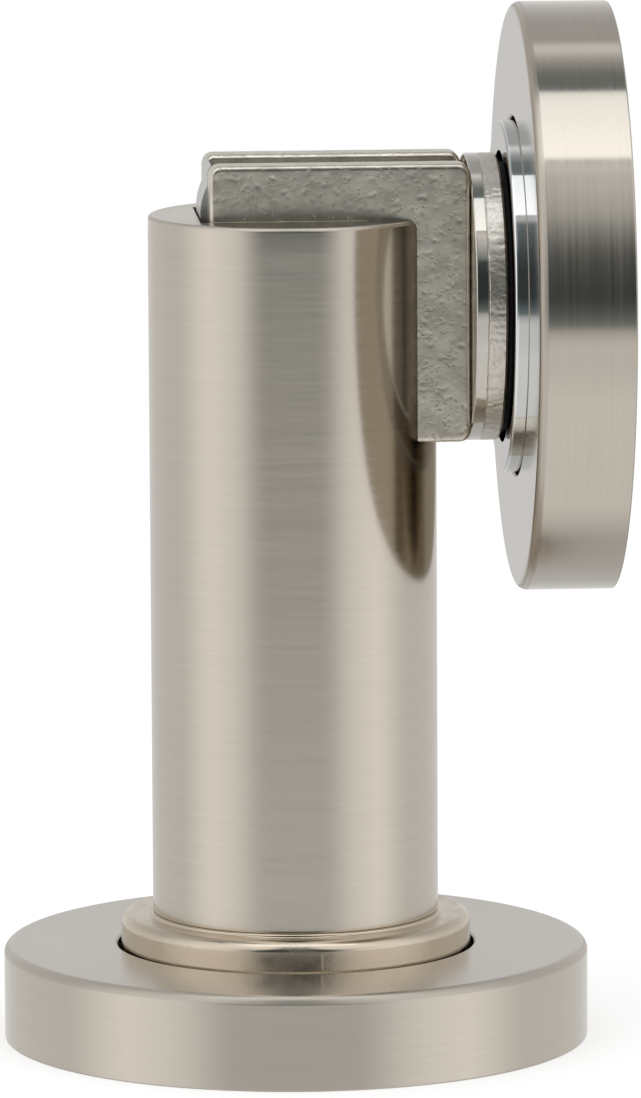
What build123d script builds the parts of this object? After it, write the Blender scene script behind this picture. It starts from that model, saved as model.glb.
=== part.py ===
from build123d import *
import os

# Magnetic door holder: a post with a magnet head stands on the floor, a steel keeper sits on the door,
# and the magnet holds the two together when the door is opened against the post.
# Millimetres, +Z up along the post, origin on the floor at the post's axis, +X towards the door.

# Cover roses: the same turned cup on the floor and on the door
rose_d = 52.0
rose_h = 8.4
rose_wall = 1.6
rose_face_t = 1.8
rose_edge_r = 0.8
rose_corner_r = 1.0
hole_edge = 0.15

# Mounting plates under the roses, with a collar that comes through the rose's hole
collar_d = 31.1
collar_gap = 0.35
floor_collar_stand = 2.7
floor_collar_edge_r = 0.6
door_collar_stand = 1.2
door_collar_edge_r = 0.25
plate_t = 4.0
plate_gap = 0.45
mount_count = 3
mount_hole_d = 4.3
mount_sink_d = 7.2

# Set screws that hold the roses to the plates
set_screw_d = 3.0
set_screw_z = 2.2
set_screw_sink = 0.25
set_screw_socket = 1.5
set_screw_socket_depth = 1.0

# Post, standing on the raised seat of the foot plate
post_d = 25.4
post_len = 62.2
post_edge_r = 0.35
seat_d = 26.2
seat_h = 0.25
seat_edge_r = 0.15
ear_round_r = 0.9

# Screw from under the foot plate into the post
post_screw_d = 8.0
post_screw_head_d = 16.0
post_screw_len = 25.0
post_screw_sink = 0.3
post_screw_socket = 5.0
post_screw_socket_depth = 3.0
tap_spare = 2.5
screw_land = 0.4
thread_gap = 0.05

# Magnet head: two L-shaped pole plates with a holder and its magnet between them
head_w = 14.0
pole_plate_t = 3.4
head_rise = 4.9
head_sink = 3.5
head_left = -7.6
head_reach = 15.25
leg_drop = 19.65
leg_w = 9.0
head_corner_r = 1.0
head_bevel = 0.25
pole_inner_bevel = 0.3
slot_gap = 0.1
slot_bevel = 0.1
holder_recess = 1.0
heel_lip = 0.35
heel_out = 0.65
heel_r = 5.4
heel_rise = 0.35
magnet_w = 6.0
magnet_h = 16.0
magnet_rise = 2.5
magnet_gap = 0.05
magnet_bevel = 0.3

# Keeper disc on a rubber washer, screwed to the door plate
keeper_d = 25.4
keeper_t = 2.8
keeper_front_band = 1.15
keeper_edge = 0.2
band_groove = 0.1
keeper_gap = 0.35
keeper_drop = 0.2
washer_d = 23.8
washer_t = 2.5
washer_gap = 1.0
keeper_screw_d = 4.0
keeper_screw_head_d = 7.4
keeper_screw_len = 10.0
keeper_screw_sink = 0.3
keeper_screw_socket = 2.5
keeper_screw_socket_depth = 1.3
float_gap = 0.25

# Levels and places that follow from the sizes above
rose_r = rose_d / 2
collar_r = collar_d / 2
hole_r = collar_r + collar_gap
plate_r = rose_r - rose_wall - plate_gap
mount_ring_r = (collar_r + plate_r) / 2
floor_collar_z = rose_h + floor_collar_stand
post_base_z = floor_collar_z + seat_h
post_top_z = post_base_z + post_len
head_top = post_top_z + head_rise
arm_bottom = post_top_z - head_sink
leg_bottom = post_top_z - leg_drop
leg_left = head_reach - leg_w
heel_left = head_left - heel_out
door_z = (head_top + leg_bottom) / 2 - keeper_drop
holder_t = head_w - 2 * pole_plate_t
door_collar_z = rose_h + door_collar_stand
keeper_back_z = door_collar_z + keeper_gap
keeper_front_z = keeper_back_z + keeper_t
door_face_x = head_reach + keeper_front_z

# The door unit is drawn standing on its door face, then laid over to point at the post
door_place = Location((door_face_x, 0, door_z), (0, -90, 0))
floor_screw_angle = 90
door_screw_angle = 180


def rounded_face(points, corners):
    """Flat face from its outline, with each (corner, radius) pair rounded."""
    face = make_face(Polyline(*points, close=True))
    for corner, radius in corners:
        face = fillet(face.vertices().sort_by_distance(corner)[0], radius)
    return face


def turned(points, corners=()):
    """Solid turned about Z from a half section of (radius, height) points."""
    return revolve(Plane.XZ * rounded_face(points, corners), Axis.Z)


def countersunk(thread_d, head_d, length, gap=0.0):
    """Turned form of a countersunk screw along -Z with its head's face at zero, or its clearance cut."""
    thread_r = thread_d / 2 + gap
    head_r = head_d / 2 + gap
    cone_end = -screw_land - gap - (head_r - thread_r)
    return turned([(0, 0), (head_r, 0), (head_r, -screw_land - gap), (thread_r, cone_end),
                   (thread_r, -length), (0, -length)])


def hex_socket(across_flats, depth):
    """Hexagon socket cut down from the plane at zero."""
    return extrude(RegularPolygon(across_flats / 2, 6, major_radius=False), -depth)


def set_screw_axis(angle):
    """Place on the axis of a rose's set screw, with Z pointing out through the rim."""
    return Rot(0, 0, angle) * Pos(0, 0, set_screw_z) * Rot(0, 90, 0)


def rose(screw_angle):
    """Cover cup with the collar's hole, and the tapped hole of its set screw in the rim."""
    inner_r = rose_r - rose_wall
    under = rose_h - rose_face_t
    cup = turned(
        [(hole_r, under), (hole_r, rose_h - hole_edge), (hole_r + hole_edge, rose_h), (rose_r, rose_h),
         (rose_r, 0), (inner_r, 0), (inner_r, under)],
        [((rose_r, rose_h), rose_edge_r), ((inner_r, under), rose_corner_r)],
    )
    tap = Cylinder(set_screw_d / 2 + thread_gap, 2 * rose_r, align=(Align.CENTER, Align.CENTER, Align.MIN))
    return cup - set_screw_axis(screw_angle) * tap


def rose_set_screw(screw_angle):
    """Socket set screw through the rose's rim, its flat point on the edge of the mounting plate."""
    length = rose_r - set_screw_sink - plate_r - thread_gap
    top = rose_r - set_screw_sink
    screw = Cylinder(set_screw_d / 2, length, align=(Align.CENTER, Align.CENTER, Align.MAX))
    screw -= hex_socket(set_screw_socket, set_screw_socket_depth)
    return set_screw_axis(screw_angle) * Pos(0, 0, top) * screw


def mounting_holes(screw_angle):
    """Countersunk fixing holes midway across the plate's ring, none of them over the set screw."""
    hole = Pos(0, 0, plate_t) * countersunk(mount_hole_d, mount_sink_d, plate_t)
    return PolarLocations(mount_ring_r, mount_count, start_angle=screw_angle + 180) * hole


def foot_plate():
    """Plate under the floor rose, with its collar and the seat that the post stands on."""
    seat_r = seat_d / 2
    body = turned(
        [(0, 0), (plate_r, 0), (plate_r, plate_t), (collar_r, plate_t), (collar_r, floor_collar_z),
         (seat_r, floor_collar_z), (seat_r, post_base_z), (0, post_base_z)],
        [((collar_r, floor_collar_z), floor_collar_edge_r), ((seat_r, post_base_z), seat_edge_r)],
    )
    screw_cut = countersunk(post_screw_d, post_screw_head_d, post_screw_len, thread_gap)
    mouth = Cylinder(post_screw_head_d / 2 + thread_gap, 2 * post_screw_sink)
    body -= Pos(0, 0, post_screw_sink) * Rot(180, 0, 0) * screw_cut + mouth
    return body - mounting_holes(floor_screw_angle)


def post_screw():
    """Countersunk socket screw, head down in the foot plate."""
    screw = countersunk(post_screw_d, post_screw_head_d, post_screw_len)
    screw -= hex_socket(post_screw_socket, post_screw_socket_depth)
    return Pos(0, 0, post_screw_sink) * Rot(180, 0, 0) * screw


def ear_corners(slot_half):
    """Cut that rounds the top corners of the post's two ears, where the slot runs out through the bar."""
    tip = ((post_d / 2) ** 2 - slot_half ** 2) ** 0.5
    block = Pos(tip, 0, post_top_z) * Box(2 * ear_round_r, post_d, 2 * ear_round_r)
    arc = Pos(tip - ear_round_r, 0, post_top_z - ear_round_r) * Rot(90, 0, 0) * Cylinder(ear_round_r, post_d)
    return block - arc


def post():
    """Round bar with an L-shaped slot for the magnet head through its top and its door side."""
    bar = Pos(0, 0, post_base_z) * Cylinder(
        post_d / 2, post_len, align=(Align.CENTER, Align.CENTER, Align.MIN))
    bar = fillet(bar.edges().filter_by(GeomType.CIRCLE), post_edge_r)
    slot_left = heel_left - slot_gap
    slot_side = leg_left - slot_gap
    slot_floor = leg_bottom - slot_gap
    slot_half = head_w / 2 + slot_gap
    slot = make_face(Polyline(
        (slot_left, head_top), (post_d, head_top), (post_d, slot_floor), (slot_side, slot_floor),
        (slot_side, arm_bottom), (slot_left, arm_bottom), close=True))
    bar -= extrude(Plane.XZ * slot, slot_half, both=True)
    top_face = bar.faces().filter_by(Axis.Z).sort_by(Axis.Z)[-1]
    mouth = top_face.edges().filter_by(GeomType.LINE)
    bar = chamfer(mouth, slot_bevel) - ear_corners(slot_half)
    tap_depth = post_screw_sink + post_screw_len + tap_spare - post_base_z
    tap = Cylinder(post_screw_d / 2 + thread_gap, tap_depth, align=(Align.CENTER, Align.CENTER, Align.MIN))
    return bar - Pos(0, 0, post_base_z) * tap


def head_outline():
    """L-shaped outline of the pole plates, its outer corners rounded."""
    outer = [(head_left, head_top), (head_reach, head_top), (head_reach, leg_bottom)]
    inner = [(leg_left, leg_bottom), (leg_left, arm_bottom), (head_left, arm_bottom)]
    return rounded_face(outer + inner, [(corner, head_corner_r) for corner in outer])


def pole_plate():
    """L-shaped pole plate on the near side, bevelled all round on both faces."""
    plate = extrude(Plane.XZ.offset(holder_t / 2) * head_outline(), pole_plate_t)
    outer_side = plate.faces().sort_by(Axis.Y)[0]
    plate = chamfer(outer_side.edges(), head_bevel)
    inner_side = plate.faces().sort_by(Axis.Y)[-1]
    return chamfer(inner_side.edges(), pole_inner_bevel)


def magnet_place():
    """Middle of the magnet's window, low in the holder's leg."""
    return Pos((leg_left + head_reach - holder_recess) / 2, 0, leg_bottom + magnet_rise + magnet_h / 2)


def magnet_holder():
    """L-shaped spacer, set back between the pole plates, with a window for the magnet.
    Its left end rises as a thin lip to the plates' outline and swells to a round heel over the post."""
    holder_top = head_top - holder_recess
    holder_right = head_reach - holder_recess
    holder_low = leg_bottom + holder_recess
    heel_x = heel_left + heel_r
    bar = make_face(Polyline(
        (head_left + heel_lip, holder_top), (holder_right, holder_top), (holder_right, holder_low),
        (leg_left, holder_low), (leg_left, arm_bottom), (head_left + heel_lip, arm_bottom), close=True))
    lip = head_outline() & Pos(head_left, arm_bottom) * Rectangle(
        2 * heel_lip, 2 * (head_top - arm_bottom))
    heel = Pos(heel_x, post_top_z + heel_rise) * Circle(heel_r) & Pos(heel_x, arm_bottom) * Rectangle(
        heel_r, holder_top - arm_bottom, align=(Align.MAX, Align.MIN))
    body = extrude(Plane.XZ * (bar + lip + heel), holder_t / 2, both=True)
    window = Box(magnet_w + 2 * magnet_gap, holder_t, magnet_h + 2 * magnet_gap)
    return body - magnet_place() * window


def magnet():
    """Block magnet between the two pole plates."""
    block = Box(magnet_w, holder_t, magnet_h)
    return magnet_place() * chamfer(block.edges().filter_by(Axis.Y), magnet_bevel)


def door_plate():
    """Plate under the door rose, its collar recessed for the rubber washer and tapped for the screw."""
    recess_r = washer_d / 2 + washer_gap
    recess_floor = keeper_back_z - washer_t
    body = turned(
        [(0, 0), (plate_r, 0), (plate_r, plate_t), (collar_r, plate_t), (collar_r, door_collar_z),
         (recess_r, door_collar_z), (recess_r, recess_floor), (0, recess_floor)],
        [((collar_r, door_collar_z), door_collar_edge_r)],
    )
    tap_end = keeper_front_z - keeper_screw_sink - keeper_screw_len - thread_gap
    tap = Cylinder(
        keeper_screw_d / 2 + thread_gap, recess_floor - tap_end,
        align=(Align.CENTER, Align.CENTER, Align.MIN))
    body -= Pos(0, 0, tap_end) * tap
    return body - mounting_holes(door_screw_angle)


def rubber_washer():
    """Flat washer between the collar's recess and the back of the keeper."""
    inner_r = keeper_screw_d / 2 + float_gap
    outer_r = washer_d / 2
    foot = keeper_back_z - washer_t
    return turned([(inner_r, foot), (outer_r, foot), (outer_r, keeper_back_z), (inner_r, keeper_back_z)])


def keeper():
    """Steel disc with a turned front band, a fine groove, a plain rear band and a countersunk hole."""
    keeper_r = keeper_d / 2
    band_z = keeper_front_z - keeper_front_band
    disc = turned([
        (0, keeper_back_z), (keeper_r - keeper_edge, keeper_back_z), (keeper_r, keeper_back_z + keeper_edge),
        (keeper_r, band_z - band_groove), (keeper_r - band_groove, band_z), (keeper_r, band_z + band_groove),
        (keeper_r, keeper_front_z - keeper_edge), (keeper_r - keeper_edge, keeper_front_z),
        (0, keeper_front_z)])
    seat = countersunk(keeper_screw_d, keeper_screw_head_d, keeper_screw_len, float_gap)
    mouth = Cylinder(keeper_screw_head_d / 2 + float_gap, 2 * keeper_screw_sink)
    return disc - Pos(0, 0, keeper_front_z - keeper_screw_sink) * (seat + mouth)


def keeper_screw():
    """Countersunk socket screw through the keeper and the washer into the door plate."""
    screw = countersunk(keeper_screw_d, keeper_screw_head_d, keeper_screw_len)
    screw -= hex_socket(keeper_screw_socket, keeper_screw_socket_depth)
    return Pos(0, 0, keeper_front_z - keeper_screw_sink) * screw


near_pole_plate = pole_plate()
nodes = {
    "floor_rose": rose(floor_screw_angle),
    "floor_rose_screw": rose_set_screw(floor_screw_angle),
    "foot_plate": foot_plate(),
    "post_screw": post_screw(),
    "post": post(),
    "near_pole_plate": near_pole_plate,
    "far_pole_plate": mirror(near_pole_plate, Plane.XZ),
    "magnet_holder": magnet_holder(),
    "magnet": magnet(),
    "door_rose": door_place * rose(door_screw_angle),
    "door_rose_screw": door_place * rose_set_screw(door_screw_angle),
    "door_plate": door_place * door_plate(),
    "rubber_washer": door_place * rubber_washer(),
    "keeper": door_place * keeper(),
    "keeper_screw": door_place * keeper_screw(),
}

os.makedirs("parts", exist_ok=True)
for name, solid in nodes.items():
    export_step(solid, f"parts/{name}.step")
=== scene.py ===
import math

import bmesh
import bpy
from mathutils import Matrix, Vector, noise


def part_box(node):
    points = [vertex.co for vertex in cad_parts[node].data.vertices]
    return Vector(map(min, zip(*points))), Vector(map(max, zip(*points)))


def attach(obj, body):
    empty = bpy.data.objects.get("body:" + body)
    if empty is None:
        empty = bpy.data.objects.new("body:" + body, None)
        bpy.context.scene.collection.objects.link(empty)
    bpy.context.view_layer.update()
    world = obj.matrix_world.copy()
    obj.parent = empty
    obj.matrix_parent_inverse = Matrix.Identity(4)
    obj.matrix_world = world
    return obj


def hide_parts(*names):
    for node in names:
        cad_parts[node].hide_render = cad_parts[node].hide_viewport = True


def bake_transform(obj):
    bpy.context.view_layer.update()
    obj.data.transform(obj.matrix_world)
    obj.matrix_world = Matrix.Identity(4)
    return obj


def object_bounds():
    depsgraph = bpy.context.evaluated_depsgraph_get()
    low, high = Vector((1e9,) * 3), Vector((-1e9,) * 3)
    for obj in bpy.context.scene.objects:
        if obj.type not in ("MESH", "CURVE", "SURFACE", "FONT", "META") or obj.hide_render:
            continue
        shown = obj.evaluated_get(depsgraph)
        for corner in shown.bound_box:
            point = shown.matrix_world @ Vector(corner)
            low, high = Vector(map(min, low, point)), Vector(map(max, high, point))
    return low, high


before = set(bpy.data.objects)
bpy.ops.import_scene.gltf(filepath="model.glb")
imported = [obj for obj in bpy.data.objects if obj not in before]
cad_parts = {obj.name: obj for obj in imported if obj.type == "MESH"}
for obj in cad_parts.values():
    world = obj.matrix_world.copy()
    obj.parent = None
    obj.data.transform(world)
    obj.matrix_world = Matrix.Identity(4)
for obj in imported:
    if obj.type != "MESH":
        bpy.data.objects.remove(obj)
cad_lo, cad_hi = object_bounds()

# Foot plate: a turned plate that is screwed to the floor through three countersunk holes.
# Its collar and the raised seat of the post come up through the rose; they are polished and nickel plated.
mm = 0.001
foot_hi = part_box("foot_plate")[1]
plate_r = foot_hi.x
plate_t = 4.0 * mm
collar_r = 15.55 * mm
floor_collar_z = 11.1 * mm
floor_collar_edge_r = 0.9 * mm
seat_r = 13.1 * mm
seat_edge_r = 0.15 * mm
seat_foot_r = 0.08 * mm
screw_mouth_r = 8.05 * mm
screw_land = 0.75 * mm
screw_bore_r = 4.05 * mm
mount_hole_r = 2.15 * mm
mount_sink_r = 3.6 * mm
mount_sink_land = 0.4 * mm
floor_mount_angles = (30, 150, 270)
warm_nickel = (0.70, 0.612, 0.50)
warm_nickel_worn = (0.635, 0.55, 0.435)
polish_pitch = 0.16 * mm
polish_length = 14 * mm
polish_bump = (0.2, 0.001 * mm)
line_detail = 4.0
line_harshness = 0.6
polished_corner = 0.17
floor_collar_gloss = (0.14, 0.20)
patch_size = 2.5 * mm
patch_edge = (0.45, 0.62)
patch_wear = 0.6
worn_gloss = 0.38
nick_x = 1.35 * mm
nick_z = 9.4 * mm
nick_w = 0.14 * mm
nick_h = 1.8 * mm
nick_gloss = 0.6
noise_span = (0.3, 0.7)
face_span = (0.6, 0.9)
corner_span = (0.05, 0.15)
upright = Matrix.Identity(4)
floor_axis = Vector((0, 0, 0))
crisp_angle = math.radians(25)
guard = 0.03 * mm


def rounded(points, corners, steps=8):
    """Closed outline through points, with an arc of the given radius at each corner named by its number.
    Straight runs get a guard point beside each end, which keeps the shading of flats and arcs apart."""
    outline = []
    for number, point in enumerate(points):
        corner = Vector(point)
        radius = corners.get(number, 0)
        if not radius:
            outline.append(corner)
            continue
        before = (Vector(points[number - 1]) - corner).normalized()
        after = (Vector(points[(number + 1) % len(points)]) - corner).normalized()
        half = before.angle(after) / 2
        centre = corner + (before + after).normalized() * (radius / math.sin(half))
        start = corner + before * (radius / math.tan(half)) - centre
        end = corner + after * (radius / math.tan(half)) - centre
        turn = math.copysign(start.angle(end), start.x * end.y - start.y * end.x)
        for step in range(steps + 1):
            outline.append(centre + Matrix.Rotation(turn * step / steps, 2) @ start)
    guarded = []
    for here, there in zip(outline, outline[1:] + outline[:1]):
        guarded.append(here)
        run = there - here
        if run.length > 6 * guard:
            inset = run.normalized() * guard
            guarded += [here + inset, there - inset]
    return guarded


def shade(shape):
    """Turn the faces outwards and shade them smooth, with the real corners kept crisp."""
    bmesh.ops.recalc_face_normals(shape, faces=shape.faces)
    for face in shape.faces:
        face.smooth = True
    for edge in shape.edges:
        edge.smooth = not edge.is_manifold or edge.calc_face_angle() < crisp_angle


def piece_from(name, shape):
    """New piece of the object from a finished shape."""
    shade(shape)
    mesh = bpy.data.meshes.new(name)
    shape.to_mesh(mesh)
    shape.free()
    piece = bpy.data.objects.new(name, mesh)
    bpy.context.scene.collection.objects.link(piece)
    return piece


def turned(name, section, place, around=240):
    """Piece turned about its own Z axis from a closed half section of (radius, height) points."""
    shape = bmesh.new()
    rings = []
    for step in range(around):
        spin = place @ Matrix.Rotation(2 * math.pi * step / around, 4, "Z")
        rings.append([shape.verts.new(spin @ Vector((radius, 0, height))) for radius, height in section])
    ends = list(zip(range(len(section)), list(range(1, len(section))) + [0]))
    for ring, following in zip(rings, rings[1:] + rings[:1]):
        for here, there in ends:
            if section[here][0] or section[there][0]:
                shape.faces.new((ring[here], following[here], following[there], ring[there]))
    bmesh.ops.remove_doubles(shape, verts=shape.verts, dist=guard / 1000)
    return piece_from(name, shape)


def settle(piece):
    """Make a piece's modifiers part of its mesh, and shade it again."""
    rough_mesh = piece.data
    piece.data = bpy.data.meshes.new_from_object(piece.evaluated_get(bpy.context.evaluated_depsgraph_get()))
    piece.modifiers.clear()
    bpy.data.meshes.remove(rough_mesh)
    shape = bmesh.new()
    shape.from_mesh(piece.data)
    shade(shape)
    shape.to_mesh(piece.data)
    shape.free()


def cut(piece, *cutters):
    """Take the cutters' shapes out of a piece."""
    for cutter in cutters:
        saw = piece.modifiers.new("cut", "BOOLEAN")
        saw.solver = "EXACT"
        saw.object = cutter
    settle(piece)
    for cutter in cutters:
        bpy.data.objects.remove(cutter)


def mount_drills(place, angles):
    """Cutters of the countersunk fixing holes, midway between the collar and the plate's edge."""
    ring_r = (collar_r + plate_r) / 2
    cone_end = plate_t - mount_sink_land - (mount_sink_r - mount_hole_r)
    drill = [(0, -mm), (mount_hole_r, -mm), (mount_hole_r, cone_end),
             (mount_sink_r, plate_t - mount_sink_land), (mount_sink_r, plate_t + mm), (0, plate_t + mm)]
    drills = []
    for angle in angles:
        hole = place @ Matrix.Rotation(math.radians(angle), 4, "Z") @ Matrix.Translation((ring_r, 0, 0))
        drills.append(turned("drill", drill, hole, around=48))
    return drills


def add_node(tree, kind, sockets, **options):
    """Add a shader node, set its options, and give each socket a value or a link from another socket."""
    node = tree.nodes.new("ShaderNode" + kind)
    for option, value in options.items():
        setattr(node, option, value)
    for key, value in sockets.items():
        if isinstance(value, bpy.types.NodeSocket):
            tree.links.new(value, node.inputs[key])
        else:
            node.inputs[key].default_value = value
    return node


def figure(tree, operation, first, second=0.0):
    """Socket with the result of one sum on two values or sockets."""
    return add_node(tree, "Math", {0: first, 1: second}, operation=operation).outputs[0]


def spread(tree, factor, low, high, start=0.0, end=1.0):
    """Socket that goes from low to high as the factor goes from start to end."""
    return add_node(tree, "MapRange", {
        "Value": factor, "From Min": start, "From Max": end, "To Min": low, "To Max": high}).outputs[0]


def tint(tree, factor, dark, light):
    """Socket of a colour between dark and light."""
    return add_node(
        tree, "Mix", {0: factor, 6: (*dark, 1), 7: (*light, 1)}, data_type="RGBA").outputs[2]


def clouds(tree, size, detail=4.0):
    """Socket of soft noise with patches of the given size in metres."""
    place = add_node(tree, "TexCoord", {}).outputs["Object"]
    return add_node(tree, "TexNoise", {"Vector": place, "Scale": 1 / size, "Detail": detail}).outputs[0]


def start_metal(name, colour, roughness):
    """New material of bare or plated metal, with its node tree and its shader."""
    metal = bpy.data.materials.new(name)
    metal.use_nodes = True
    shader = metal.node_tree.nodes["Principled BSDF"]
    shader.inputs["Metallic"].default_value = 1.0
    shader.inputs["Base Color"].default_value = (*colour, 1)
    shader.inputs["Roughness"].default_value = roughness
    return metal, metal.node_tree, shader


def emboss(tree, shader, height, strength, depth):
    """Bump of the given depth in metres on a shader, over any bump that it has."""
    sockets = {"Height": height, "Strength": strength, "Distance": depth}
    if shader.inputs["Normal"].is_linked:
        sockets["Normal"] = shader.inputs["Normal"].links[0].from_socket
    bump = add_node(tree, "Bump", sockets)
    tree.links.new(bump.outputs[0], shader.inputs["Normal"])


def lathe_lines(tree, axis, centre, pitch, around):
    """Socket of fine lines that run round a turned piece, on its rim and on its faces alike.
    axis is the number of the turning axis; pitch is the lines' spacing and around their length, in metres."""
    place = add_node(tree, "TexCoord", {}).outputs["Object"]
    moved = add_node(tree, "VectorMath", {0: place, 1: centre}, operation="SUBTRACT").outputs[0]
    parts = add_node(tree, "SeparateXYZ", {0: moved}).outputs
    across = [parts[side] for side in range(3) if side != axis]
    squares = [figure(tree, "MULTIPLY", side, side) for side in across]
    radius = figure(tree, "SQRT", figure(tree, "ADD", *squares))
    lines_at = add_node(tree, "CombineXYZ", {
        0: figure(tree, "MULTIPLY", parts[axis], 1 / pitch),
        1: figure(tree, "MULTIPLY", radius, 1 / pitch),
        2: figure(tree, "MULTIPLY", across[0], 1 / around)}).outputs[0]
    return add_node(tree, "TexNoise", {
        "Vector": lines_at, "Scale": 1.0, "Detail": line_detail, "Roughness": line_harshness}).outputs[0]


def how_flat(tree, axis):
    """Socket that is 0 on a turned piece's round side and 1 on its flat faces."""
    normal = add_node(tree, "TexCoord", {}).outputs["Normal"]
    return figure(tree, "ABSOLUTE", add_node(tree, "SeparateXYZ", {0: normal}).outputs[axis])


def soft_corners(tree, flat, elsewhere, corner_gloss):
    """Socket of the roughness, which is higher where the polishing rounded a corner off."""
    bend = figure(tree, "MULTIPLY", flat, figure(tree, "SUBTRACT", 1.0, flat))
    return spread(tree, bend, elsewhere, corner_gloss, *corner_span)


def paint_face_shade(tree, flat, plating, face_shade):
    """Socket of the plating's colour with painted shade, which darkens the flat faces by the given factor."""
    shaded_plating = add_node(tree, "VectorMath", {0: plating, 1: face_shade}, operation="MULTIPLY").outputs[0]
    at_face = spread(tree, flat, 0.0, 1.0, *face_span)
    return add_node(tree, "Mix", {0: at_face, 6: plating, 7: shaded_plating}, data_type="RGBA").outputs[2]


def polished_nickel(name, axis, centre, light, worn, gloss, face_shade=None):
    """Bright plating with the faint lines that the polishing left round the turned faces.
    light and worn are its two colours, gloss is its range of roughness,
    and the last, when given, is a painted shade that darkens its flat faces."""
    metal, tree, shader = start_metal(name, light, gloss[0])
    lines = lathe_lines(tree, axis, centre, polish_pitch, polish_length)
    flat = how_flat(tree, axis)
    plating = tint(tree, lines, worn, light)
    if face_shade:
        plating = paint_face_shade(tree, flat, plating, face_shade)
    tree.links.new(plating, shader.inputs["Base Color"])
    polished = spread(tree, lines, *gloss, *noise_span)
    tree.links.new(soft_corners(tree, flat, polished, polished_corner), shader.inputs["Roughness"])
    emboss(tree, shader, lines, *polish_bump)
    return metal


def wear(metal):
    """Handling wear of the floor collar: matt patches, and a small upright nick at the front of its wall."""
    tree = metal.node_tree
    gloss = tree.nodes["Principled BSDF"].inputs["Roughness"]
    patches = spread(tree, clouds(tree, patch_size, detail=3.0), 0.0, patch_wear, *patch_edge)
    worn = spread(tree, patches, gloss.links[0].from_socket, worn_gloss)
    place = add_node(tree, "SeparateXYZ", {0: add_node(tree, "TexCoord", {}).outputs["Object"]}).outputs
    aside = figure(tree, "ABSOLUTE", figure(tree, "SUBTRACT", place[0], nick_x))
    above = figure(tree, "ABSOLUTE", figure(tree, "SUBTRACT", place[2], nick_z))
    across = spread(tree, aside, 1.0, 0.0, 0.0, nick_w)
    along = spread(tree, above, 1.0, 0.0, nick_h / 3, nick_h / 2)
    front = figure(tree, "LESS_THAN", place[1], 0.0)
    broken = figure(tree, "MULTIPLY", figure(tree, "MULTIPLY", across, along), front)
    tree.links.new(spread(tree, broken, worn, nick_gloss), gloss)


def fit(piece, metal, body, node):
    """Give a piece its finish, and seat it on its body in place of the plain solid."""
    piece.data.materials.append(metal)
    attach(piece, body)
    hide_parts(node)


foot_section = rounded(
    [(screw_mouth_r, 0), (plate_r, 0), (plate_r, plate_t), (collar_r, plate_t), (collar_r, floor_collar_z),
     (seat_r, floor_collar_z), (seat_r, foot_hi.z), (screw_bore_r, foot_hi.z),
     (screw_bore_r, screw_land + screw_mouth_r - screw_bore_r), (screw_mouth_r, screw_land)],
    {4: floor_collar_edge_r, 5: seat_foot_r, 6: seat_edge_r})
foot_plate = turned("turned_foot_plate", foot_section, upright)
cut(foot_plate, *mount_drills(upright, floor_mount_angles))
floor_polish = polished_nickel(
    "floor collar nickel", 2, floor_axis, warm_nickel, warm_nickel_worn, floor_collar_gloss)
wear(floor_polish)
fit(foot_plate, floor_polish, "floor_unit", "foot_plate")

# Screws: bought steel screws, zinc plated, with a hexagon socket.
# The post screw holds the post from below, the keeper screw holds the keeper and the washer,
# and a set screw in the rim holds each rose to its plate.
zinc_grey = (0.52, 0.52, 0.53)
zinc_dull = (0.40, 0.40, 0.40)
zinc_patch = 0.7 * mm
zinc_gloss = (0.2, 0.45)


def zinc_plate():
    """Zinc plating with the cloudy patches of a barrel-plated screw."""
    metal, tree, shader = start_metal("zinc plate", zinc_grey, zinc_gloss[0])
    patches = clouds(tree, zinc_patch)
    tree.links.new(tint(tree, patches, zinc_dull, zinc_grey), shader.inputs["Base Color"])
    tree.links.new(spread(tree, patches, *zinc_gloss, *noise_span), shader.inputs["Roughness"])
    return metal


def dress(node, material):
    """Give a solid of the frame its finish."""
    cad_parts[node].material_slots[0].material = material


screw_zinc = zinc_plate()
for screw in ("post_screw", "floor_rose_screw", "door_rose_screw", "keeper_screw"):
    dress(screw, screw_zinc)

# Floor rose: a turned cup that covers the foot plate, nickel plated and brushed round its axis.
# The collar comes up through its hole, and a set screw at the back of the rim holds it down.
rose_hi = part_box("floor_rose")[1]
rose_r = rose_hi.x
rose_h = rose_hi.z
rose_wall = 1.6 * mm
rose_face_t = 1.8 * mm
rose_edge_r = 0.8 * mm
rose_corner_r = 1.0 * mm
collar_gap = 0.35 * mm
hole_r = collar_r + collar_gap
hole_edge = 0.15 * mm
tap_r = 1.55 * mm
tap_z = 2.2 * mm
floor_tap_angle = 90
satin_light = (0.628, 0.574, 0.498)
satin_dark = (0.60, 0.548, 0.474)
brush_pitch = 0.4 * mm
brush_length = 14 * mm
brush_bump = (0.1, 0.003 * mm)
brush_turn = 0.25
wave_pitch = 7 * mm
wave_length = 60 * mm
wave_bump = (1.0, 0.024 * mm)
rim_spread = 0.95
face_spread = 0.3
satin_corner = 0.4
rim_gloss = (0.14, 0.19)
floor_face_gloss = (0.20, 0.26)
lacquer_gloss = 0.5


def rose(name, place, tap_angle):
    """Cover cup with the collar's hole and the tapped hole of its set screw."""
    under = rose_h - rose_face_t
    section = rounded(
        [(hole_r, under), (hole_r, rose_h - hole_edge), (hole_r + hole_edge, rose_h), (rose_r, rose_h),
         (rose_r, 0), (rose_r - rose_wall, 0), (rose_r - rose_wall, under)],
        {3: rose_edge_r, 4: hole_edge, 6: rose_corner_r})
    cup = turned(name, section, place, around=288)
    tap_place = (place @ Matrix.Rotation(math.radians(tap_angle), 4, "Z") @ Matrix.Translation((0, 0, tap_z))
                 @ Matrix.Rotation(math.radians(90), 4, "Y"))
    tap_section = [(0, plate_r), (tap_r, plate_r), (tap_r, 2 * rose_r), (0, 2 * rose_r)]
    cut(cup, turned("tap", tap_section, tap_place, around=48))
    return cup


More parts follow.
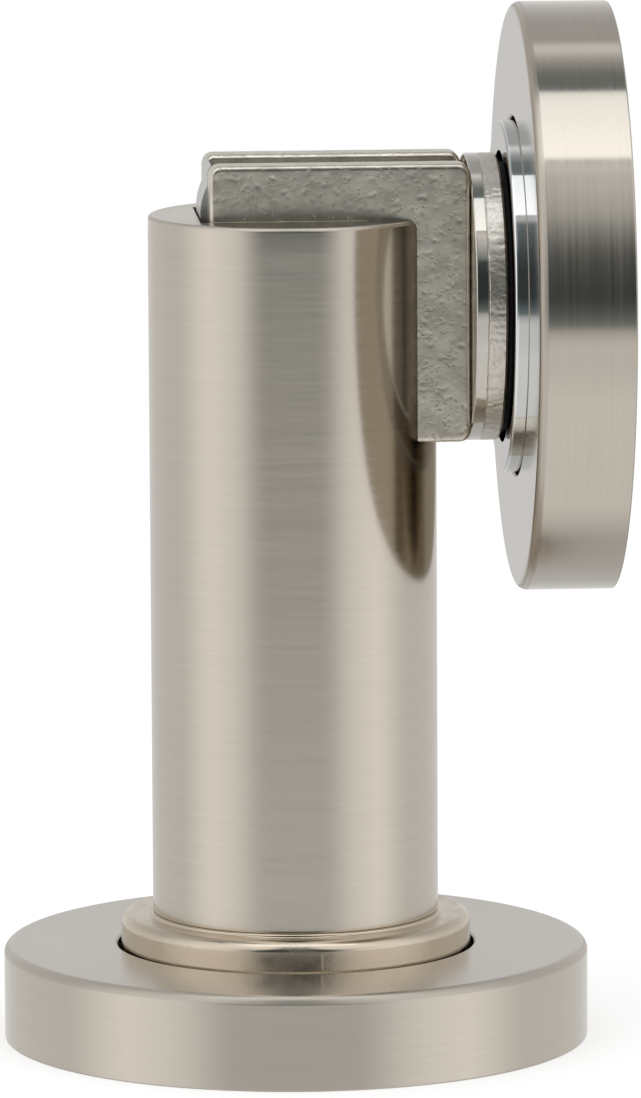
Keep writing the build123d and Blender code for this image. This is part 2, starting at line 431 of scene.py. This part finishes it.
def satin_nickel(name, axis, centre, brush_spread, side_gloss, face_gloss, face_shade=None, lacquered=False):
    """Satin nickel brushed round a turned piece: the lines spread its reflections across themselves,
    brush_spread says how much, and slow waves of the belt run with them. side_gloss and face_gloss are the
    ranges of roughness on its round side and its flat faces. The face shade, when given, is a painted shade
    that darkens the flat faces, and lacquered puts a matt clear lacquer on them."""
    metal, tree, shader = start_metal(name, satin_light, side_gloss[0])
    round_it = add_node(tree, "Tangent", {}, direction_type="RADIAL", axis="XYZ"[axis])
    tree.links.new(round_it.outputs[0], shader.inputs["Tangent"])
    shader.inputs["Anisotropic Rotation"].default_value = brush_turn
    lines = lathe_lines(tree, axis, centre, brush_pitch, brush_length)
    flat = how_flat(tree, axis)
    plating = tint(tree, spread(tree, lines, 0.0, 1.0, *noise_span), satin_dark, satin_light)
    if face_shade:
        plating = paint_face_shade(tree, flat, plating, face_shade)
    tree.links.new(plating, shader.inputs["Base Color"])
    on_side = spread(tree, lines, *side_gloss, *noise_span)
    on_face = spread(tree, lines, *face_gloss, *noise_span)
    brushed = spread(tree, flat, on_side, on_face, *face_span)
    tree.links.new(soft_corners(tree, flat, brushed, satin_corner), shader.inputs["Roughness"])
    tree.links.new(spread(tree, flat, brush_spread, face_spread, *face_span), shader.inputs["Anisotropic"])
    if lacquered:
        tree.links.new(spread(tree, flat, 0.0, 1.0, *face_span), shader.inputs["Coat Weight"])
        shader.inputs["Coat Roughness"].default_value = lacquer_gloss
    emboss(tree, shader, lines, *brush_bump)
    emboss(tree, shader, lathe_lines(tree, axis, centre, wave_pitch, wave_length), *wave_bump)
    return metal


floor_rose = rose("turned_floor_rose", upright, floor_tap_angle)
floor_satin = satin_nickel(
    "floor rose nickel", 2, floor_axis, rim_spread, rim_gloss, floor_face_gloss, lacquered=True)
fit(floor_rose, floor_satin, "floor_unit", "floor_rose")

# Post: a round bar, brushed and nickel plated, that stands on the seat of the foot plate.
# An L-shaped slot for the magnet head is milled through its top and its door side.
# The brushing belt rolled its two ends off a little.
post_lo, post_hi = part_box("post")
near_lo, near_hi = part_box("near_pole_plate")
holder_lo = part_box("magnet_holder")[0]
post_r = post_hi.x
post_edge_r = 0.35 * mm
foot_edge_r = 0.08 * mm
tap_end_z = 27.8 * mm
top_roll = 2.6 * mm
top_roll_loss = 0.03 * mm
foot_roll = 1.2 * mm
foot_roll_loss = 0.012 * mm
post_gloss = (0.15, 0.20)
post_spread = 0.2
slot_gap = 0.1 * mm
slot_bevel = 0.1 * mm
ear_round_r = 0.9 * mm
arm_depth = 3.5 * mm
leg_w = 9.0 * mm
# Painted shade beside the slot: its width, its fade at the slot's floor and its dark colour.
slot_shade_w = 1.7 * mm
slot_shade_end = 0.3 * mm
slot_shade_dark = (0.17, 0.155, 0.13)
slot_half = slot_gap - near_lo.y
slot_left = holder_lo.x - slot_gap
arm_bottom = post_hi.z - arm_depth
leg_left = near_hi.x - leg_w
slot_low = near_lo.z - slot_gap
out_x = post_r + mm
over_z = post_hi.z + mm


def prism(name, outline, back_y, front_y):
    """Straight bar along Y with an outline of (x, z) points."""
    shape = bmesh.new()
    ends = [[shape.verts.new((x, y, z)) for x, z in outline] for y in (back_y, front_y)]
    for end in ends:
        shape.faces.new(end)
    for number in range(len(outline)):
        shape.faces.new((ends[0][number - 1], ends[0][number], ends[1][number], ends[1][number - 1]))
    return piece_from(name, shape)


def rolled_end(start_z, end_z, loss, steps=6):
    """Points of the bar's side where it rolls off, from the full radius at start_z to less at end_z."""
    points = []
    for step in range(steps):
        part = step / steps
        points.append((post_r - loss * part ** 2, start_z + (end_z - start_z) * part))
    return points


def slot_mouth():
    """Cutter of the bevel round the slot's mouth in the post's top."""
    shape = bmesh.new()
    for rise in (-slot_bevel, slot_bevel):
        for x in (slot_left - slot_bevel - rise, out_x):
            for y in (-1, 1):
                shape.verts.new((x, y * (slot_half + slot_bevel + rise), post_hi.z + rise))
    bmesh.ops.convex_hull(shape, input=shape.verts)
    return piece_from("mouth", shape)


def paint_slot_shade(metal):
    """Painted shade: the post's colour darkened beside the slot's upright edges, in the corner by the pole
    plates' leg.
    """
    tree = metal.node_tree
    colour = tree.nodes["Principled BSDF"].inputs["Base Color"]
    place = add_node(tree, "SeparateXYZ", {0: add_node(tree, "TexCoord", {}).outputs["Object"]}).outputs
    beside = spread(tree, figure(tree, "ABSOLUTE", place[1]), 1.0, 0.0, slot_half, slot_half + slot_shade_w)
    above = spread(tree, place[2], 0.0, 1.0, slot_low - slot_shade_end, slot_low + slot_shade_end)
    door_side = figure(tree, "GREATER_THAN", place[0], leg_left)
    painted_shade = figure(tree, "MULTIPLY", figure(tree, "MULTIPLY", beside, above), door_side)
    shaded_post = add_node(
        tree, "Mix", {0: painted_shade, 6: colour.links[0].from_socket, 7: (*slot_shade_dark, 1)}, data_type="RGBA")
    tree.links.new(shaded_post.outputs[2], colour)


foot_side = rolled_end(post_lo.z + foot_roll, post_lo.z, foot_roll_loss)
top_side = rolled_end(post_hi.z - top_roll, post_hi.z, top_roll_loss)
side = foot_side[::-1] + top_side
post_foot = [(screw_bore_r, post_lo.z), (post_r - foot_roll_loss, post_lo.z)]
post_top = [(post_r - top_roll_loss, post_hi.z), (0, post_hi.z), (0, tap_end_z), (screw_bore_r, tap_end_z)]
post_section = rounded(post_foot + side + post_top, {1: foot_edge_r, len(side) + 2: post_edge_r})
post = turned("brushed_post", post_section, upright, around=360)
slot = prism("slot", [
    (slot_left, over_z), (out_x, over_z), (out_x, slot_low), (leg_left - slot_gap, slot_low),
    (leg_left - slot_gap, arm_bottom), (slot_left, arm_bottom)], slot_half, -slot_half)
ear_tip = math.sqrt(post_r ** 2 - slot_half ** 2)
ear_arc = [(ear_tip - ear_round_r * (1 - math.sin(angle)), post_hi.z - ear_round_r * (1 - math.cos(angle)))
           for angle in (math.radians(degrees) for degrees in range(0, 91, 9))]
ear_waste = [(out_x, post_hi.z - ear_round_r), (out_x, over_z), (ear_tip - ear_round_r, over_z)]
ears = prism("ears", ear_arc + ear_waste, post_r, -post_r)
cut(post, slot, slot_mouth(), ears)
post_satin = satin_nickel("post nickel", 2, floor_axis, post_spread, post_gloss, floor_face_gloss)
# Painted shade on the post beside the slot's upright edges.
paint_slot_shade(post_satin)
fit(post, post_satin, "floor_unit", "post")

# Pole plates: two L-shaped steel castings, bonded into the slot, that lead the magnet's pull to the keeper.
# Their skin is pitted from the mould under the nickel, and their edges are ground to a narrow bevel.
plate_corner_r = 1.0 * mm
plate_bevel = 0.25 * mm
plate_inner_bevel = 0.3 * mm
cast_grain = 0.13 * mm
cast_soften = 0.5
cast_light = (0.74, 0.69, 0.595)
cast_dark = (0.57, 0.525, 0.45)
pit_size = 0.42 * mm
pit_edge = (0.32, 0.41)
pit_bump = (1.0, 0.011 * mm)
grime_size = 1.6 * mm
grime_edge = (0.3, 0.62)
cast_gloss = (0.4, 0.28)
swell_size = 1.6 * mm
swell_depth = 0.012 * mm
dent_size = 0.55 * mm
dent_depth = 0.035 * mm
dent_level = 0.25
nib_size = 0.6 * dent_size
nib_level = 0.35
nib_shift = Vector((9, 2, 5))


def cast_skin(place):
    """How far the casting's skin lies below its flat: slow swells, scattered dents and smaller nibs."""
    swell = noise.noise(place / swell_size) * swell_depth
    dent = max(0.0, noise.noise(place / dent_size) - dent_level) * dent_depth
    nib = max(0.0, noise.noise(place / nib_size + nib_shift) - nib_level) * dent_depth
    return dent + nib + swell_depth + swell


def pole_plate(name, side):
    """L-shaped plate on one side of the holder, bevelled, then pitted all over."""
    outline = rounded(
        [(near_lo.x, near_hi.z), (near_hi.x, near_hi.z), (near_hi.x, near_lo.z), (leg_left, near_lo.z),
         (leg_left, arm_bottom), (near_lo.x, arm_bottom)],
        {0: plate_corner_r, 1: plate_corner_r, 2: plate_corner_r})
    plate = prism(name, outline, side * near_hi.y, side * near_lo.y)
    shape = bmesh.new()
    shape.from_mesh(plate.data)
    for y, bevel in ((near_lo.y, plate_bevel), (near_hi.y, plate_inner_bevel)):
        rim = [edge for edge in shape.edges if all(abs(end.co.y - side * y) < guard for end in edge.verts)]
        bmesh.ops.bevel(shape, geom=rim, offset=bevel, segments=1, affect="EDGES")
    shape.to_mesh(plate.data)
    shape.free()
    grain = plate.modifiers.new("grain", "REMESH")
    grain.mode = "VOXEL"
    grain.voxel_size = cast_grain
    settle(plate)
    shape = bmesh.new()
    shape.from_mesh(plate.data)
    bmesh.ops.smooth_vert(
        shape, verts=shape.verts, factor=cast_soften, use_axis_x=True, use_axis_y=True, use_axis_z=True)
    shape.normal_update()
    pits = [(vert, vert.normal * cast_skin(vert.co)) for vert in shape.verts]
    for vert, pit in pits:
        vert.co -= pit
    for edge in shape.edges:
        edge.smooth = True
    shape.to_mesh(plate.data)
    shape.free()
    return plate


def cast_nickel():
    """Nickel over a cast skin: dull in the dents, brighter on the high spots."""
    metal, tree, shader = start_metal("cast nickel", cast_light, cast_gloss[0])
    pits = spread(tree, clouds(tree, pit_size, detail=3.0), 0.0, 1.0, *pit_edge)
    grime = spread(tree, clouds(tree, grime_size, detail=6.0), 0.0, 1.0, *grime_edge)
    clean = figure(tree, "MULTIPLY", pits, grime)
    tree.links.new(tint(tree, clean, cast_dark, cast_light), shader.inputs["Base Color"])
    tree.links.new(spread(tree, pits, *cast_gloss), shader.inputs["Roughness"])
    emboss(tree, shader, pits, *pit_bump)
    return metal


cast_metal = cast_nickel()
for side, node in ((1, "near_pole_plate"), (-1, "far_pole_plate")):
    fit(pole_plate("cast_" + node, side), cast_metal, "floor_unit", node)

# Magnet holder: the plated spacer between the pole plates, set back so that the keeper never meets it.
# Its left end rises as a thin lip to the plates' outline.
# Where it leaves the post, it swells to a round heel.
spacer_light = (0.63, 0.63, 0.62)
spacer_dark = (0.54, 0.535, 0.52)
spacer_patch = 0.9 * mm
spacer_gloss = (0.2, 0.36)
spacer_bump = (0.4, 0.006 * mm)


def spacer_nickel(name):
    """Smooth nickel with cloudy, slightly bluish patches."""
    metal, tree, shader = start_metal(name, spacer_light, spacer_gloss[0])
    patches = clouds(tree, spacer_patch, detail=5.0)
    tree.links.new(tint(tree, patches, spacer_dark, spacer_light), shader.inputs["Base Color"])
    tree.links.new(spread(tree, patches, *spacer_gloss, *noise_span), shader.inputs["Roughness"])
    emboss(tree, shader, patches, *spacer_bump)
    return metal


dress("magnet_holder", spacer_nickel("spacer nickel"))

# Magnet: a sintered block magnet with the same smooth nickel plating as the holder.
# It is slid into the holder's window, and the two pole plates shut it in.
dress("magnet", spacer_nickel("magnet nickel"))

# Door plate: the same turned plate as on the floor, with a shorter collar that is recessed for the washer.
# It lies on the door leaf under the rose, and only its polished collar shows.
door_lo, door_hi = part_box("door_rose")
door_axis = Vector((door_hi.x, 0, (door_lo.z + door_hi.z) / 2))
door_place = Matrix.Translation(door_axis) @ Matrix.Rotation(math.radians(-90), 4, "Y")
door_plate_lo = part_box("door_plate")[0]
washer_lo, washer_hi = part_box("rubber_washer")
screw_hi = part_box("keeper_screw")[1]
door_collar_z = door_hi.x - door_plate_lo.x
recess_floor = door_hi.x - washer_hi.x
washer_r = washer_hi.y
recess_room = 1.0 * mm
recess_r = washer_r + recess_room
keeper_tap_r = 2.05 * mm
thread_room = 0.05 * mm
keeper_tap_end = door_hi.x - screw_hi.x - thread_room
door_mount_angles = (0, 120, 240)
door_collar_edge_r = 0.25 * mm
cold_nickel = (0.85, 0.87, 0.88)
cold_nickel_worn = (0.81, 0.83, 0.835)
door_collar_gloss = (0.03, 0.06)
# Painted shade that darkens the collar's flat front face.
door_collar_face_shade = (0.36, 0.31, 0.25)
door_section = rounded(
    [(0, 0), (plate_r, 0), (plate_r, plate_t), (collar_r, plate_t), (collar_r, door_collar_z),
     (recess_r, door_collar_z), (recess_r, recess_floor), (keeper_tap_r, recess_floor),
     (keeper_tap_r, keeper_tap_end), (0, keeper_tap_end)],
    {4: door_collar_edge_r, 5: seat_foot_r})
door_plate = turned("turned_door_plate", door_section, door_place)
cut(door_plate, *mount_drills(door_place, door_mount_angles))
door_polish = polished_nickel(
    "door collar nickel", 0, door_axis, cold_nickel, cold_nickel_worn, door_collar_gloss, door_collar_face_shade)
fit(door_plate, door_polish, "door_unit", "door_plate")

# Door rose: the same turned and brushed nickel cup as on the floor, with a glossier face.
# It is slipped over the keeper on to the door plate, and its set screw sits underneath.
door_tap_angle = 180
door_face_gloss = (0.08, 0.13)
# Painted shade that darkens the door rose's flat faces.
door_rose_face_shade = (0.66, 0.63, 0.59)
door_rose = rose("turned_door_rose", door_place, door_tap_angle)
door_satin = satin_nickel(
    "door rose nickel", 0, door_axis, rim_spread, rim_gloss, door_face_gloss, door_rose_face_shade)
fit(door_rose, door_satin, "door_unit", "door_rose")

# Rubber washer: a moulded black ring behind the keeper, which gives when the door leans or swings.
# It is made as two halves of its thickness, a front half and a back half.
washer_bore_r = 2.25 * mm
washer_edge_r = 0.3 * mm
rubber_black = (0.010, 0.010, 0.011)
rubber_dusty = (0.022, 0.022, 0.023)
dust_size = 1.2 * mm
rubber_gloss = (0.55, 0.75)
rubber_sheen = 0.25
rubber_grain = 0.12 * mm
rubber_bump = (0.4, 0.006 * mm)
washer_air = 0.02 * mm
washer_mid_x = (washer_lo.x + washer_hi.x) / 2


def washer_half(name, rubber, front_x, back_x, round_corner):
    """Half of the washer's thickness, with one rounded edge and a breath of air at either face."""
    back = door_hi.x - back_x + washer_air
    front = door_hi.x - front_x - washer_air
    section = rounded(
        [(washer_bore_r, back), (washer_r, back), (washer_r, front), (washer_bore_r, front)],
        {round_corner: washer_edge_r}, steps=6)
    half = turned(name, section, door_place)
    half.data.materials.append(rubber)
    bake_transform(half)
    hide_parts("rubber_washer")


def black_rubber():
    """Matt moulded rubber with a fine grain and a little dust."""
    rubber = bpy.data.materials.new("black rubber")
    rubber.use_nodes = True
    tree = rubber.node_tree
    shader = tree.nodes["Principled BSDF"]
    dust = clouds(tree, dust_size, detail=6.0)
    tree.links.new(tint(tree, dust, rubber_black, rubber_dusty), shader.inputs["Base Color"])
    tree.links.new(spread(tree, dust, *rubber_gloss, *noise_span), shader.inputs["Roughness"])
    shader.inputs["Specular IOR Level"].default_value = rubber_sheen
    emboss(tree, shader, clouds(tree, rubber_grain), *rubber_bump)
    return rubber


washer_rubber = black_rubber()
washer_half("rubber_ring_front", washer_rubber, washer_lo.x, washer_mid_x, 2)
washer_half("rubber_ring_back", washer_rubber, washer_mid_x, washer_hi.x, 1)

# Keeper: a steel disc that the magnet holds, plated, with a countersunk hole for its screw.
# The front band was turned bright after plating, and the rear band kept its rough skin.
# The line between the two wavers.
keeper_lo, keeper_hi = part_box("keeper")
keeper_r = keeper_hi.y
keeper_back = door_hi.x - keeper_hi.x
keeper_front = door_hi.x - keeper_lo.x
keeper_edge = 0.2 * mm
front_band = 1.15 * mm
band_groove = 0.1 * mm
band_wave = 0.05 * mm
band_waves = 9
keeper_sink = 0.3 * mm
keeper_mouth_r = 3.95 * mm
keeper_land = 0.65 * mm
keeper_bore_r = 2.25 * mm
rough_rows = 12
rough_depth = 0.045 * mm
rough_size = 0.45 * mm
rough_stretch = 3
rough_share = 0.35
fine_share = 0.5
bright_steel = (0.66, 0.63, 0.58)
dull_steel = (0.56, 0.53, 0.475)
rough_steel = (0.84, 0.80, 0.73)
bright_gloss = (0.04, 0.07)
bright_patch = 0.5 * mm
bright_grain = 0.001 * mm
rough_gloss = (0.3, 0.42)
rough_patch = 0.22 * mm
rough_grain = 0.03 * mm
keeper_grain = 0.5


def keeper_steel(name, light, dark, gloss, patch, depth):
    """Plated steel: gloss is the range of roughness, patch the mottling's size and depth the grain's."""
    metal, tree, shader = start_metal(name, light, gloss[0])
    patches = clouds(tree, patch, detail=5.0)
    tree.links.new(tint(tree, patches, dark, light), shader.inputs["Base Color"])
    tree.links.new(spread(tree, patches, *gloss, *noise_span), shader.inputs["Roughness"])
    emboss(tree, shader, patches, keeper_grain, depth)
    return metal


def roughen(piece, groove_z):
    """Pit the rear band of the keeper and let the line between the bands waver."""
    to_lathe = door_place.inverted()
    shape = bmesh.new()
    shape.from_mesh(piece.data)
    for vert in shape.verts:
        local = to_lathe @ vert.co
        radius = math.hypot(local.x, local.y)
        if radius < keeper_r - 2 * band_groove:
            continue
        out = Vector((local.x, local.y, 0)) / radius
        near_line = max(0.0, 1 - abs(local.z - groove_z) / (4 * band_groove))
        local.z += near_line * band_wave * noise.noise(out * band_waves)
        if keeper_back + keeper_edge / 2 < local.z < groove_z - band_groove / 2:
            ridged = Vector((vert.co.x / rough_stretch, vert.co.y, vert.co.z)) / rough_size
            pit = noise.noise(ridged) + fine_share * noise.noise(vert.co / (fine_share * rough_size))
            local -= out * rough_depth * max(0.0, rough_share + pit)
        vert.co = door_place @ local
    for face in shape.faces:
        middle = to_lathe @ face.calc_center_median()
        on_side = math.hypot(middle.x, middle.y) > keeper_r - 3 * band_groove
        face.material_index = int(on_side and middle.z < groove_z)
    shade(shape)
    shape.to_mesh(piece.data)
    shape.free()


groove_z = keeper_front - front_band
rear_top = groove_z - band_groove
rear_low = keeper_back + keeper_edge
rear_side = [(keeper_r, rear_low + (rear_top - rear_low) * row / rough_rows) for row in range(rough_rows + 1)]
rear_points = [(keeper_bore_r, keeper_back), (keeper_r - keeper_edge, keeper_back)] + rear_side
front_points = [
    (keeper_r - band_groove, groove_z), (keeper_r, groove_z + band_groove), (keeper_r, keeper_front)]
cone_top = keeper_front - keeper_sink - keeper_land
sink_points = [(keeper_mouth_r, keeper_front), (keeper_mouth_r, cone_top),
               (keeper_bore_r, cone_top - keeper_mouth_r + keeper_bore_r)]
front_corner = len(rear_points) + len(front_points) - 1
keeper_section = rounded(rear_points + front_points + sink_points, {front_corner: keeper_edge})
keeper = turned("turned_keeper", keeper_section, door_place, around=720)
roughen(keeper, groove_z)
bright_band = keeper_steel(
    "bright keeper steel", bright_steel, dull_steel, bright_gloss, bright_patch, bright_grain)
rough_band = keeper_steel(
    "rough keeper steel", rough_steel, bright_steel, rough_gloss, rough_patch, rough_grain)
fit(keeper, bright_band, "keeper_disc", "keeper")
keeper.data.materials.append(rough_band)

# Studio: a white sweep with pale side cards, a softbox overhead and a dim room where the camera stands.
# The floor takes the shadow, and mirror-like faces see the room by direction.
camera_turn = math.radians(3.8)
room_light = 0.65
dim_room = (0.86, 1.05, 1.07)
dim_span = (0.08, 0.5)
window_soft = (-0.3, 0.7)


def ramp(tree, factor, stops):
    """Socket of a grey ramp through (place, level) stops."""
    node = add_node(tree, "ValToRGB", {0: factor})
    points = node.color_ramp.elements
    while len(points) < len(stops):
        points.new(1.0)
    for point, (place, level) in zip(points, stops):
        point.position = place
        point.color = (level, level, level, 1)
    return node.outputs[0]


studio = bpy.data.worlds.new("studio")
bpy.context.scene.world = studio
studio.use_nodes = True
sky = studio.node_tree
sky.nodes.clear()
outwards = add_node(sky, "TexCoord", {}).outputs["Generated"]
around_room = add_node(
    sky, "VectorRotate", {"Vector": outwards, "Angle": camera_turn}, rotation_type="Z_AXIS")
look = add_node(sky, "SeparateXYZ", {0: around_room.outputs[0]}).outputs
ahead = figure(sky, "MULTIPLY", look[1], -1.0)
turn = figure(sky, "DIVIDE", figure(sky, "ARCTAN2", figure(sky, "ABSOLUTE", look[0]), ahead), math.pi)
rise = figure(sky, "ADD", figure(sky, "DIVIDE", figure(sky, "ARCSINE", look[2]), math.pi), 0.5)
pitch = figure(sky, "ADD", figure(sky, "DIVIDE", figure(sky, "ARCTAN2", look[2], ahead), 2 * math.pi), 0.5)


def by_turn(*stops):
    """Level by the angle from the camera's side, in degrees."""
    return ramp(sky, turn, [(degrees / 180, level) for degrees, level in stops])


def by_rise(*stops):
    """Level by the angle above the horizon, in degrees."""
    return ramp(sky, rise, [(degrees / 180 + 0.5, level) for degrees, level in stops])


def by_pitch(*stops):
    """Level by the angle from the camera's side over the top, in degrees, negative below the horizon."""
    return ramp(sky, pitch, [(degrees / 360 + 0.5, level) for degrees, level in stops])


cards = by_turn((25, 0.66), (40, 0.81), (52, 0.94), (70, 1.05), (82, 0.95), (92, 0.83), (102, 0.74),
                (180, 0.73))
panels = by_turn((10, 1.0), (55, 1.07), (85, 0.85), (105, 0.56), (180, 0.47))
sides = spread(sky, by_rise((8, 0.0), (38, 1.0)), cards, panels)
half_width = by_rise((-14, 25 / 180), (5, 30 / 180), (26, 16 / 180), (37, 10.5 / 180), (48, 8.5 / 180))
edge_width = by_rise((-5, 20 / 180), (12, 8.5 / 180))
window_edge = figure(sky, "DIVIDE", figure(sky, "SUBTRACT", turn, half_width), edge_width)
camera_side = spread(sky, window_edge, 1.0, 0.0, *window_soft)
window = by_rise((-14, 0.76), (-11, 0.69), (-9.5, 0.61), (-7.8, 0.54), (-5.3, 0.21), (-2, 0.14), (1, 0.09),
                 (5, 0.05), (22, 0.045), (32, 0.07), (42, 0.1), (53.5, 0.12), (57, 0.5))
low = spread(sky, camera_side, sides, window)
table = by_pitch((-150, 0.62), (-125, 0.56), (-105, 0.56), (-85, 0.82), (-35, 0.84), (-12, 0.68))
below = by_rise((-35, 1.0), (-12, 0.0))
low = spread(sky, below, low, table)
ceiling = by_pitch((50, 0.64), (57, 0.62), (90, 0.36), (95, 0.2), (103, 0.22), (111, 0.45), (118, 0.85),
                   (122, 0.92), (128, 0.56), (145, 0.54), (170, 0.54))
overhead = by_rise((55, 0.0), (60, 1.0))
level = spread(sky, overhead, low, ceiling)
path = add_node(sky, "LightPath", {}).outputs
mirror_level = spread(sky, path["Is Glossy Ray"], room_light, level)
seen = figure(sky, "MAXIMUM", path["Is Camera Ray"], path["Is Transmission Ray"])
dim = spread(sky, mirror_level, 0.0, 1.0, *dim_span)
backdrop = add_node(sky, "Background", {
    "Color": tint(sky, dim, dim_room, (1, 1, 1)), "Strength": spread(sky, seen, mirror_level, 1.0)})
add_node(sky, "OutputWorld", {0: backdrop.outputs[0]})

softbox_size = (0.7, 0.35)
softbox_away = 0.6
softbox_pitch = math.radians(75)
softbox_level = 1.05
softbox_tint = (0.94, 0.97, 1.0)
softbox = bpy.data.lights.new("softbox", "AREA")
softbox.shape = "RECTANGLE"
softbox.size, softbox.size_y = softbox_size
softbox.energy = softbox_level * math.pi * softbox_size[0] * softbox_size[1]
softbox.color = softbox_tint
softbox_stand = bpy.data.objects.new("softbox", softbox)
softbox_aim = Vector((0, -math.cos(softbox_pitch), math.sin(softbox_pitch)))
softbox_stand.location = Vector((0, 0, cad_hi.z)) + softbox_away * softbox_aim
softbox_stand.rotation_euler = softbox_aim.to_track_quat("Z", "Y").to_euler()
bpy.context.scene.collection.objects.link(softbox_stand)

floor_r = 0.6
floor_sides = 96
paper_white = (0.8, 0.8, 0.8)
paper_gloss = 0.9
paper_lift = 0.45
floor_mesh = bpy.data.meshes.new("floor")
sweep = bmesh.new()
bmesh.ops.create_circle(sweep, cap_ends=True, segments=floor_sides, radius=floor_r)
sweep.to_mesh(floor_mesh)
sweep.free()
floor = bpy.data.objects.new("floor", floor_mesh)
bpy.context.scene.collection.objects.link(floor)
floor.visible_glossy = False
paper = bpy.data.materials.new("white paper")
paper.use_nodes = True
paper_shader = paper.node_tree.nodes["Principled BSDF"]
paper_shader.inputs["Base Color"].default_value = (*paper_white, 1)
paper_shader.inputs["Roughness"].default_value = paper_gloss
paper_shader.inputs["Specular IOR Level"].default_value = 0.0
paper_shader.inputs["Emission Color"].default_value = (1, 1, 1, 1)
seen_paper = add_node(paper.node_tree, "LightPath", {}).outputs["Is Camera Ray"]
paper.node_tree.links.new(
    figure(paper.node_tree, "MULTIPLY", seen_paper, paper_lift), paper_shader.inputs["Emission Strength"])
floor.data.materials.append(paper)

# Camera: a long lens, a little above the post's middle and a little to the left of it.
# Its place was worked out from the outlines of the base, the post and the rose.
aim_point = Vector((2.394, 0, 43.602)) * mm
camera_away = 757.564 * mm
camera_rise = math.radians(8.303)
camera_roll = math.radians(-0.305)
lens_mm = 280.1
sensor_mm = 36
back = Vector((-math.sin(camera_turn) * math.cos(camera_rise), -math.cos(camera_turn) * math.cos(camera_rise),
               math.sin(camera_rise)))
right = (-back).cross(Vector((0, 0, 1))).normalized()
up = right.cross(-back)
tilted_right = right * math.cos(camera_roll) + up * math.sin(camera_roll)
tilted_up = up * math.cos(camera_roll) - right * math.sin(camera_roll)
lens = bpy.data.cameras.new("camera")
lens.lens = lens_mm
lens.sensor_width = sensor_mm
camera = bpy.data.objects.new("camera", lens)
camera.matrix_world = Matrix.Translation(aim_point + camera_away * back) @ Matrix(
    (tilted_right, tilted_up, back)).transposed().to_4x4()
bpy.context.scene.collection.objects.link(camera)
bpy.context.scene.camera = camera
bpy.context.scene.view_settings.view_transform = "Standard"
